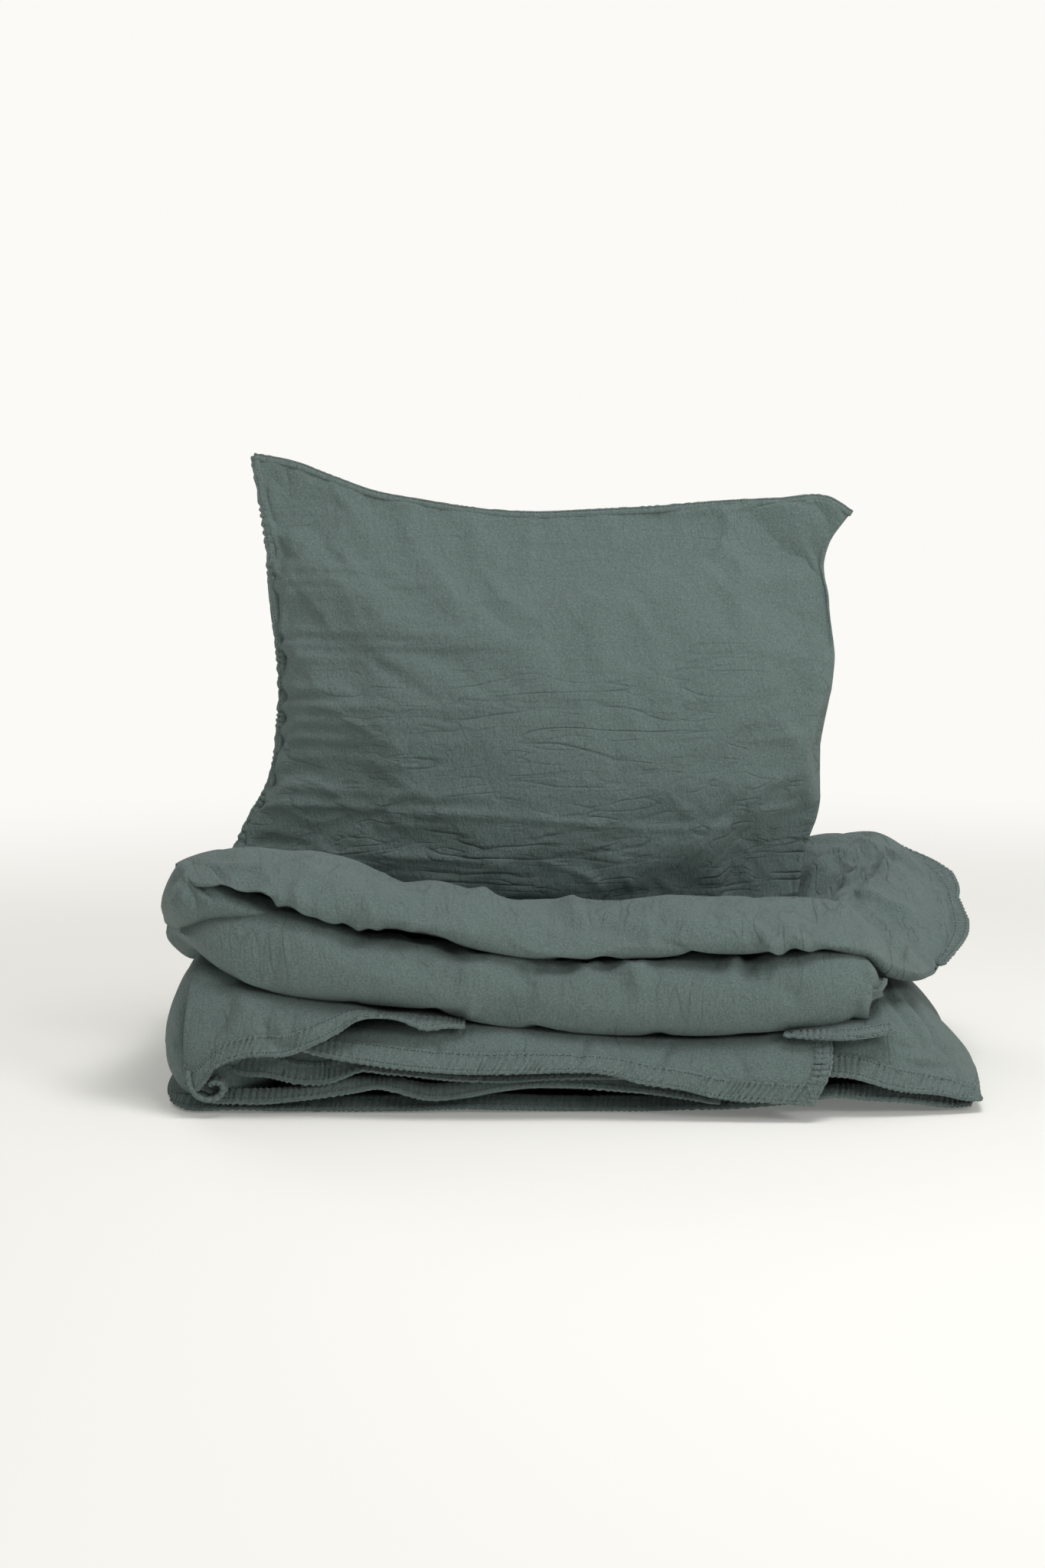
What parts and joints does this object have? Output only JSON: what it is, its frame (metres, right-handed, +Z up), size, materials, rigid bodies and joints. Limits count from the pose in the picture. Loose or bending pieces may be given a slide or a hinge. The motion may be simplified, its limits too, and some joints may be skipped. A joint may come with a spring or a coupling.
{
  "type": "folded duvet with pillow",
  "caption": "Folded duvet in a washed-cotton cover, doubled back into a soft stack with hemmed edges, and a matching pillow standing upright in its upper fold.",
  "frame": {"origin": "on the floor, under the middle of the folded stack", "axes": "+X to the right along the stack, from the duvet's bend to the loose side; +Y to the back; +Z up"},
  "size_m": [0.776, 0.51, 0.571],
  "materials": {
    "cover_cloth": "washed crinkled cotton, matte",
    "hem_cloth": "washed cotton hem, double stitched",
    "ticking": "plain cotton ticking",
    "filling": "loose fibre filling"
  },
  "bodies": {
    "duvet": {"foot_sheet_bottom": "cover_cloth", "foot_sheet_bottom_hem": "hem_cloth", "foot_sheet_second": "cover_cloth", "foot_sheet_second_hem": "hem_cloth", "insert_foot": "ticking", "foot_sheet_third": "cover_cloth", "foot_sheet_third_hem": "hem_cloth", "foot_sheet_top": "cover_cloth", "foot_sheet_top_hem": "hem_cloth", "foot_sheet_top_side_seam": "hem_cloth", "cover_left_fold": "cover_cloth", "insert_left_fold": "ticking", "foot_corner_right": "cover_cloth", "foot_corner_right_seam": "hem_cloth", "cover_lower_layer": "cover_cloth", "insert_lower_layer": "ticking", "cover_lower_end_panel": "cover_cloth", "cover_lower_side_seam": "hem_cloth", "cover_corner_flap": "hem_cloth", "cover_bend": "cover_cloth", "insert_bend": "ticking"},
    "upper_fold": {"cover_upper_layer": "cover_cloth", "insert_upper_layer": "ticking", "cover_upper_end_panel": "cover_cloth", "cover_upper_side_seam": "hem_cloth"},
    "pillow": {"pillowcase_front": "cover_cloth", "pillowcase_back": "cover_cloth", "pillowcase_top_seam": "hem_cloth", "pillowcase_bottom_seam": "hem_cloth", "pillowcase_left_seam": "hem_cloth", "pillowcase_right_hem": "hem_cloth", "pillow_ticking_front": "ticking", "pillow_ticking_back": "ticking", "pillow_filling": "filling"}
  },
  "joints": [
    {"name": "fold_open", "type": "hinge", "parent": "duvet", "child": "upper_fold", "pos_m": [-0.32, 0, 0.1756], "axis": [0, -1, 0], "range_deg": [0, 20], "deforming": ["cover_bend", "insert_bend"]},
    {"name": "pillow_lift", "type": "slide", "parent": "upper_fold", "child": "pillow", "axis": [0, 0, 1], "range_m": [0, 0.2]}
  ]
}
